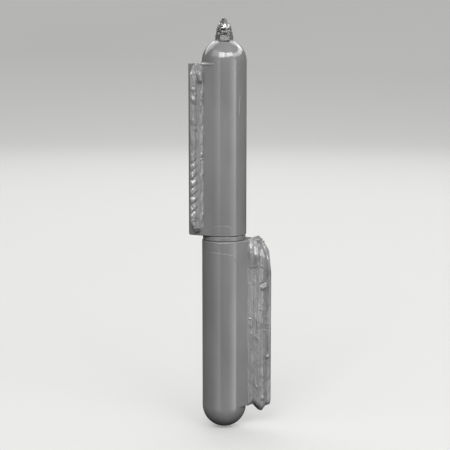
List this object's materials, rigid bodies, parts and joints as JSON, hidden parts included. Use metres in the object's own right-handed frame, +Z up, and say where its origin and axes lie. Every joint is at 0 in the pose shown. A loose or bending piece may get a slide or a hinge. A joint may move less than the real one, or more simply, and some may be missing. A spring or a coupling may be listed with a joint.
{
  "type": "weld-on hinge",
  "caption": "Lift-off barrel hinge with two drop-section leaves on a fixed pin, a thrust ring, a grease nipple and the weld beads that join each leaf's wing.",
  "frame": {"origin": "middle of the lower leaf's rear flank, the flat that lies on the frame it is welded to", "axes": "+Y out of that flank, into the frame; +Z up along the hinge axis; +X along the flank to the nose"},
  "size_m": [0.0346, 0.026, 0.1899],
  "materials": {
    "paint": "gloss enamel on steel",
    "weld_paint": "gloss enamel over rippled weld metal",
    "ring": "enamel on the rim, worn bright on the face",
    "pin_steel": "ground, greased",
    "nipple": "plated, over-painted in part",
    "valve_steel": "polished",
    "grease": "wet, lumpy"
  },
  "bodies": {
    "lower": {"lower_leaf": "paint", "hinge_pin": "pin_steel", "lower_weld": "weld_paint"},
    "ring": {"thrust_ring": "ring"},
    "upper": {"upper_leaf": "paint", "upper_weld": "weld_paint", "nipple_body": "nipple", "nipple_spring": "valve_steel", "grease_crust": "grease"},
    "valve": {"nipple_ball": "valve_steel"}
  },
  "joints": [
    {"name": "swing", "type": "hinge", "parent": "lower", "child": "ring", "pos_m": [-0.00641, -0.0102, 0.03895], "axis": [0, 0, 1], "continuous": true},
    {"name": "lift_off", "type": "slide", "parent": "ring", "child": "upper", "axis": [0, 0, 1], "range_m": [0, 0.055]},
    {"name": "valve", "type": "slide", "parent": "upper", "child": "valve", "axis": [0, 0, -1], "range_m": [0, 0.0008], "stiffness_N_per_m": 200, "springref_m": -0.002, "deforming": ["nipple_spring"]}
  ]
}
